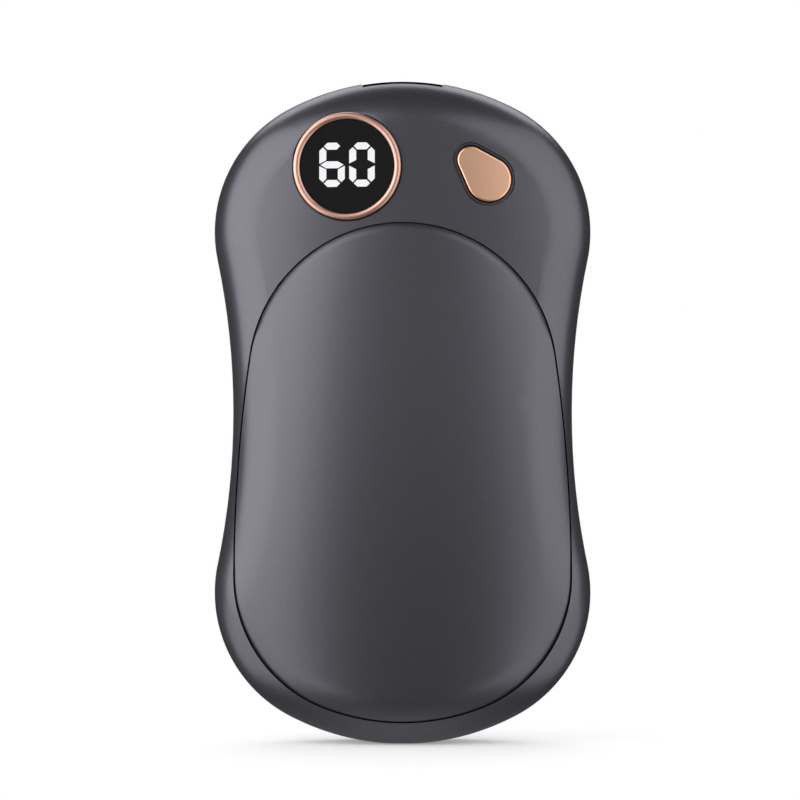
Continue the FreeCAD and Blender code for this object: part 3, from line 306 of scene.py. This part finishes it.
@dataclass
class Casing(SubAssembly):
    """The two moulded shells and the screws that hold them."""

    fleck_mm: float = 0.35
    fleck_relief_mm: float = 0.003

    def finishes(self) -> dict[str, Finish]:
        """Dress the shells in lacquer.

        Returns:
            The finish of each piece, by node.
        """
        # Lacquer on moulded ABS
        lacquer = graphite_lacquer("abs", self.fleck_mm, self.fleck_relief_mm, ShoulderBorder())
        return {"front_shell": lacquer, "rear_shell": lacquer, "shell_screws": TINNED_STEEL}


@dataclass
class HeatPlates(SubAssembly):
    """The two heat plates with their tapes, heater films and sensors."""

    fleck_mm: float = 0.35
    fleck_relief_mm: float = 0.002
    track_pitch_mm: float = 2.4
    bead_grain_mm: float = 0.5
    sleeve_weave_mm: float = 0.4

    def finishes(self) -> dict[str, Finish]:
        """Dress the plates in the casing's lacquer, and what is under them.

        Returns:
            The finish of each piece, by node.
        """
        # Lacquer on drawn aluminium: a shade smoother, as the metal under it is
        lacquer = graphite_lacquer("aluminium", self.fleck_mm, self.fleck_relief_mm, SoftBorder())
        # Polyimide film over etched foil: amber, with the darker foil tracks showing through
        film = Finish("polyimide_film", "c98a32", "a8681c", grain_mm=self.track_pitch_mm, relief_mm=0.01,
                      roughness=(0.25, 0.35), pattern=Pattern.TRACKS)
        # Dipped epoxy: a glossy black bead
        resin = Finish("dipped_epoxy", "222224", "19191b", grain_mm=self.bead_grain_mm, relief_mm=0.004,
                       roughness=(0.2, 0.3))
        # Shrunk glass-fibre sleeve: off-white, its weave showing
        sleeve = Finish("glass_fibre_sleeve", "e4e2da", "d3d0c6", grain_mm=self.sleeve_weave_mm,
                        relief_mm=0.02, roughness=(0.6, 0.7), pattern=Pattern.WEAVE)
        return {
            "front_heat_plate": lacquer, "rear_heat_plate": lacquer,
            "front_plate_tape": FOAM_TAPE, "rear_plate_tape": FOAM_TAPE,
            "front_heater_film": film, "rear_heater_film": film,
            "thermistor": resin, "thermal_fuse": sleeve,
        }


@dataclass
class Display(SubAssembly):
    """The round display: ring, window, figures and the block behind them."""

    ring_grain_mm: float = 0.4
    polish_mm: float = 3.0
    milk_mm: float = 0.6

    def finishes(self) -> dict[str, Finish]:
        """Dress the ring in rose gold, the window in smoke and the lit bars in white.

        Returns:
            The finish of each piece, by node.
        """
        # Turned brass with rose-gold plating: a soft metal sheen
        ring = Finish("rose_gold_plated_brass", "cca393", "c59a89", grain_mm=self.ring_grain_mm,
                      relief_mm=0.001, roughness=(0.32, 0.38), metallic=1.0)
        # Smoked acrylic, polished: black with clear reflections
        window = Finish("smoked_acrylic", "0b0b0c", "080809", grain_mm=self.polish_mm, relief_mm=0.0005,
                        roughness=(0.08, 0.12), specular=0.35)
        # Milky acrylic lit from behind, a little uneven where its filler is denser
        lit = Finish("lit_milky_acrylic", "d8d8da", "cccccf", grain_mm=self.milk_mm, relief_mm=0.0005,
                     roughness=(0.2, 0.3), glow=0.05)
        # The same smoke over a bar that is off
        unlit = Finish("unlit_smoked_acrylic", "0e0e10", "0b0b0d", grain_mm=self.polish_mm, relief_mm=0.0005,
                       roughness=(0.10, 0.14), specular=0.35)
        return {"display_ring": ring, "display_window": window, "display_segments_lit": lit,
                "display_segments_unlit": unlit, "display_block": BLACK_ABS}


@dataclass
class PowerButton(SubAssembly):
    """The drop-shaped cap and the push switch under it."""

    cap_grain_mm: float = 0.4

    def finishes(self) -> dict[str, Finish]:
        """Dress the cap in rose gold and the switch plainly.

        Returns:
            The finish of each piece, by node.
        """
        # Moulded ABS with rose-gold plating: a little brighter and warmer than the ring
        cap = Finish("rose_gold_plated_abs", "f2c2a5", "eab89a", grain_mm=self.cap_grain_mm, relief_mm=0.001,
                     roughness=(0.31, 0.37), metallic=1.0)
        return {"power_button": cap, "switch_base": BLACK_ABS, "switch_cover": TINNED_STEEL,
                "switch_plunger": NYLON}


@dataclass
class ChargingInlet(SubAssembly):
    """The black panel in the top edge and the inlet in it."""

    def finishes(self) -> dict[str, Finish]:
        """The finish of each piece, by node."""
        return {"port_panel": BLACK_ABS, "usb_shell": TINNED_STEEL, "usb_insulator": BLACK_ABS}


@dataclass
class ControlBoard(SubAssembly):
    """The control board with the parts and connectors on it."""

    powder_mm: float = 0.25

    def finishes(self) -> dict[str, Finish]:
        """Dress the board in green resist and its parts in their own materials.

        Returns:
            The finish of each piece, by node.
        """
        # Pressed ferrite powder: dull and dark, with a fine grain
        ferrite = Finish("pressed_ferrite", "4a4a4a", "3b3b3c", grain_mm=self.powder_mm, relief_mm=0.01,
                         roughness=(0.55, 0.7))
        # Fired ceramic: an even tan
        ceramic = Finish("fired_ceramic", "b5966f", "a6875f", grain_mm=self.powder_mm, relief_mm=0.004,
                         roughness=(0.4, 0.5))
        return {
            "control_board": LAMINATE, "board_screws": TINNED_STEEL, "control_chip": BLACK_ABS,
            "power_inductor": ferrite, "board_capacitors": ceramic, "battery_connector": NYLON,
            "front_heater_connector": NYLON, "rear_heater_connector": NYLON,
        }


@dataclass
class Battery(SubAssembly):
    """The two cells with their protection board, frame and pads."""

    foil_crease_mm: float = 2.0
    frame_grain_mm: float = 0.3
    foam_cell_mm: float = 0.8

    def finishes(self) -> dict[str, Finish]:
        """Dress the cells in foil and what holds them.

        Returns:
            The finish of each piece, by node.
        """
        # Laminated aluminium pouch foil: silvery, faintly creased
        foil = Finish("pouch_foil", "cfcfd1", "bdbdc0", grain_mm=self.foil_crease_mm, relief_mm=0.02,
                      roughness=(0.3, 0.42), metallic=0.9)
        # Moulded polycarbonate: pale grey, with a fine satin grain
        polycarbonate = Finish("moulded_polycarbonate", "c2c2c0", "b4b4b2", grain_mm=self.frame_grain_mm,
                               relief_mm=0.006, roughness=(0.45, 0.55))
        # Open-cell silicone foam: grey and dull, with its cells showing
        foam = Finish("silicone_foam", "8c8c8a", "6f6f6d", grain_mm=self.foam_cell_mm, relief_mm=0.08,
                      roughness=(0.8, 0.95), pattern=Pattern.CELLS)
        return {
            "battery_cell_front": foil, "battery_cell_rear": foil, "cell_tape": FOAM_TAPE,
            "cell_tabs": TINNED_STEEL, "protection_board": LAMINATE, "battery_cradle": polycarbonate,
            "front_insulation_pad": foam, "rear_insulation_pad": foam,
        }


@dataclass
class Leads(SubAssembly):
    """The leads between cells, heaters, sensor and board."""

    skin_grain_mm: float = 0.3

    def insulation(self, colour: str, light: str, dark: str) -> Finish:
        """Extruded silicone insulation in one colour: smooth, with a dull shine."""
        return Finish(f"{colour}_silicone_insulation", light, dark, grain_mm=self.skin_grain_mm,
                      relief_mm=0.004, roughness=(0.4, 0.5))

    def finishes(self) -> dict[str, Finish]:
        """Dress each lead in its colour.

        Returns:
            The finish of each piece, by node.
        """
        white = self.insulation("white", "e8e8e6", "dadad7")
        return {
            "battery_lead_positive": self.insulation("red", "b3261e", "9e1f18"),
            "battery_lead_negative": self.insulation("black", "1d1d1e", "151516"),
            "front_heater_leads": white, "rear_heater_leads": white, "thermistor_leads": white,
        }


@dataclass
class PaperFloor:
    """White paper under the foot, in metres: it keeps the shadow near the foot and fades to white."""

    half: float = 3.0
    fade: tuple[float, float] = (0.005, 0.055)
    colour: str = "cfcfcf"
    lift: float = 0.25

    def build(self) -> None:
        """Lay the paper."""
        mesh = bpy.data.meshes.new("floor")
        form = bmesh.new()
        bmesh.ops.create_grid(form, x_segments=1, y_segments=1, size=self.half)
        form.to_mesh(mesh)
        form.free()
        mesh.materials.append(self.paper())
        floor = bpy.data.objects.new("floor", mesh)
        floor.location.z = cad_box[0].z
        bpy.context.scene.collection.objects.link(floor)
        # The surround has the paper that gloss mirrors, and the low lamps shine up through the floor
        floor.visible_glossy = False
        floor.visible_shadow = False

    def paper(self) -> bpy.types.Material:
        """Make the paper: to the camera it is lifted near the foot and plain white farther off.

        Returns:
            The new material.
        """
        material, tree = new_tree("white_paper")
        by_camera = add_node(tree, "ShaderNodeLightPath").outputs["Is Camera Ray"]
        place = add_node(tree, "ShaderNodeTexCoord").outputs["Object"]
        away = add_node(tree, "ShaderNodeVectorMath", {"operation": "LENGTH", 0: place})
        start, whole = self.fade
        fade = add_node(tree, "ShaderNodeMapRange", {
            "Value": away.outputs["Value"], "From Min": start, "From Max": whole})
        share = add_node(tree, "ShaderNodeMath", {
            "operation": "MULTIPLY", 0: fade.outputs["Result"], 1: by_camera})
        lift = add_node(tree, "ShaderNodeMath", {"operation": "MULTIPLY", 0: by_camera, 1: self.lift})
        shaded = add_node(tree, "ShaderNodeBsdfDiffuse", {"Color": linear(self.colour)})
        lifted = add_node(tree, "ShaderNodeEmission", {"Color": linear(WHITE), "Strength": lift.outputs[0]})
        near = add_node(tree, "ShaderNodeAddShader", {
            0: shaded.outputs["BSDF"], 1: lifted.outputs["Emission"]})
        far = add_node(tree, "ShaderNodeEmission", {"Color": linear(WHITE), "Strength": 1.0})
        surface = add_node(tree, "ShaderNodeMixShader", {
            0: share.outputs[0], 1: near.outputs["Shader"], 2: far.outputs["Emission"]})
        add_node(tree, "ShaderNodeOutputMaterial", {"Surface": surface.outputs["Shader"]})
        return material


@dataclass
class Surround:
    """The world: white to the camera, a dim room with white paper to gloss, and an even fill to the rest.

    Each pair says where one light gives way to the next, as a direction's part to the right, back or up.
    """

    ambient: float = 0.25
    # The room: a band of light at eye level, dim above, below and behind, and a white sweep straight back
    eye_level_glow: float = 0.37
    room_glow: float = 0.065
    glow_level: float = 0.14
    glow_height: float = 0.37
    glow_depth: tuple[float, float] = (-0.3, 0.4)
    sweep_edge: tuple[float, float] = (0.95, 0.995)
    # The paper below the object
    paper_glow: float = 0.6
    paper_rise: tuple[float, float] = (-0.2, -0.6)
    paper_depth: tuple[float, float] = (-0.75, -0.25)
    paper_sides: tuple[float, float] = (0.55, 0.15)

    def build(self) -> None:
        """Fill the world."""
        world = bpy.data.worlds.new("studio")
        world.use_nodes = True
        tree = world.node_tree
        tree.nodes.clear()
        rays = add_node(tree, "ShaderNodeLightPath")
        place = add_node(tree, "ShaderNodeTexCoord")
        axes = add_node(tree, "ShaderNodeSeparateXYZ", {"Vector": place.outputs["Generated"]})
        right, back, up = axes.outputs
        mirrored = add_node(tree, "ShaderNodeMath", {
            "operation": "MAXIMUM", 0: self.room(tree, back, up), 1: self.paper(tree, right, back, up)})
        lit = add_node(tree, "ShaderNodeMapRange", {
            "Value": rays.outputs["Is Glossy Ray"], "To Min": self.ambient, "To Max": mirrored.outputs[0]})
        strength = add_node(tree, "ShaderNodeMapRange", {
            "Value": rays.outputs["Is Camera Ray"], "To Min": lit.outputs["Result"], "To Max": 1.0})
        sky = add_node(tree, "ShaderNodeBackground", {
            "Color": linear(WHITE), "Strength": strength.outputs["Result"]})
        add_node(tree, "ShaderNodeOutputWorld", {"Surface": sky.outputs["Background"]})
        bpy.context.scene.world = world

    def room(self, tree: Tree, back: Socket, up: Socket) -> Socket:
        """Light the room and the sweep behind.

        Args:
            tree: The world's node tree.
            back: The direction's part to the back.
            up: The direction's part upwards.

        Returns:
            The room's light.
        """
        rise = add_node(tree, "ShaderNodeMath", {"operation": "SUBTRACT", 0: up, 1: self.glow_level})
        height = add_node(tree, "ShaderNodeMath", {"operation": "ABSOLUTE", 0: rise.outputs[0]})
        band = add_node(tree, "ShaderNodeMapRange", {
            "Value": height.outputs[0], "From Max": self.glow_height,
            "To Min": self.eye_level_glow, "To Max": self.room_glow})
        room = add_node(tree, "ShaderNodeMapRange", {
            "Value": back, "From Min": self.glow_depth[0], "From Max": self.glow_depth[1],
            "To Min": band.outputs["Result"], "To Max": self.room_glow})
        sweep = add_node(tree, "ShaderNodeMapRange", {
            "Value": back, "From Min": self.sweep_edge[0], "From Max": self.sweep_edge[1],
            "To Min": room.outputs["Result"], "To Max": 1.0})
        return sweep.outputs["Result"]

    def paper(self, tree: Tree, right: Socket, back: Socket, up: Socket) -> Socket:
        """Light the paper below, which fades upwards, towards the camera and to both sides.

        Args:
            tree: The world's node tree.
            right: The direction's part to the right.
            back: The direction's part to the back.
            up: The direction's part upwards.

        Returns:
            The paper's light.
        """
        aside = add_node(tree, "ShaderNodeMath", {"operation": "ABSOLUTE", 0: right})
        light = self.paper_glow
        for measure, (start, whole) in (
                (up, self.paper_rise), (aside.outputs[0], self.paper_sides), (back, self.paper_depth)):
            light = add_node(tree, "ShaderNodeMapRange", {
                "Value": measure, "From Min": start, "From Max": whole, "To Max": light}).outputs["Result"]
        return light


@dataclass
class Softbox:
    """A large plain lamp that looks at the object's middle: angles in degrees, sizes in metres."""

    name: str
    azimuth: float
    elevation: float
    height: float
    radiance: float
    width: float = 1.4
    distance: float = 0.8

    def build(self) -> None:
        """Stand the lamp round the object: azimuth 0 is the camera's side, 90 the right."""
        turn, rise = math.radians(self.azimuth), math.radians(self.elevation)
        away = Vector((math.sin(turn) * math.cos(rise), -math.cos(turn) * math.cos(rise), math.sin(rise)))
        lamp = bpy.data.lights.new(self.name, "AREA")
        lamp.shape = "RECTANGLE"
        lamp.size, lamp.size_y = self.width, self.height
        lamp.energy = self.radiance * math.pi * self.width * self.height
        holder = bpy.data.objects.new(self.name, lamp)
        holder.location = away * self.distance
        holder.rotation_mode = "QUATERNION"
        holder.rotation_quaternion = away.to_track_quat("Z", "Y")
        bpy.context.scene.collection.objects.link(holder)


@dataclass
class Camera:
    """The camera, square on to the front and as far off as the photograph's, in metres."""

    distance: float = 0.700
    right: float = -0.00043
    up: float = 0.00205
    field_width: float = 0.13323
    sensor_mm: float = 36.0

    def build(self) -> None:
        """Place the camera and look through it."""
        eye = bpy.data.cameras.new("camera")
        eye.sensor_width = self.sensor_mm
        eye.lens = self.sensor_mm * self.distance / self.field_width
        holder = bpy.data.objects.new("camera", eye)
        holder.location = (self.right, -self.distance, self.up)
        holder.rotation_euler = (math.pi / 2, 0, 0)
        bpy.context.scene.collection.objects.link(holder)
        bpy.context.scene.camera = holder


@dataclass
class Studio:
    """The floor, the surround, the soft lamps and the camera."""

    floor: PaperFloor = field(default_factory=PaperFloor)
    surround: Surround = field(default_factory=Surround)
    # Each side has a bright lamp above and a weaker one below it, so the rims darken towards the foot
    softboxes: list[Softbox] = field(default_factory=lambda: [
        Softbox("left_softbox", azimuth=-62, elevation=22, height=1.14, radiance=2.65),
        Softbox("left_low_softbox", azimuth=-70, elevation=-30, height=0.46, radiance=1.6),
        Softbox("right_softbox", azimuth=68, elevation=22, height=1.14, radiance=1.55),
        Softbox("right_low_softbox", azimuth=76, elevation=-30, height=0.46, radiance=1.3),
        Softbox("back_softbox", azimuth=180, elevation=45, height=0.4, radiance=4.5, width=0.9),
    ])
    camera: Camera = field(default_factory=Camera)

    def build(self) -> None:
        """Set everything up in order and report it."""
        for item in (self.floor, self.surround, *self.softboxes, self.camera):
            item.build()
            log.info("Studio: set up %s", item)
        bpy.context.scene.view_settings.view_transform = "Standard"


def main() -> None:
    """Dress the sub-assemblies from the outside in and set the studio."""
    logging.basicConfig(level=logging.INFO)
    for kind in (Casing, HeatPlates, Display, PowerButton, ChargingInlet, ControlBoard, Battery, Leads):
        kind().build()
    Studio().build()


if __name__ == "__main__":
    main()
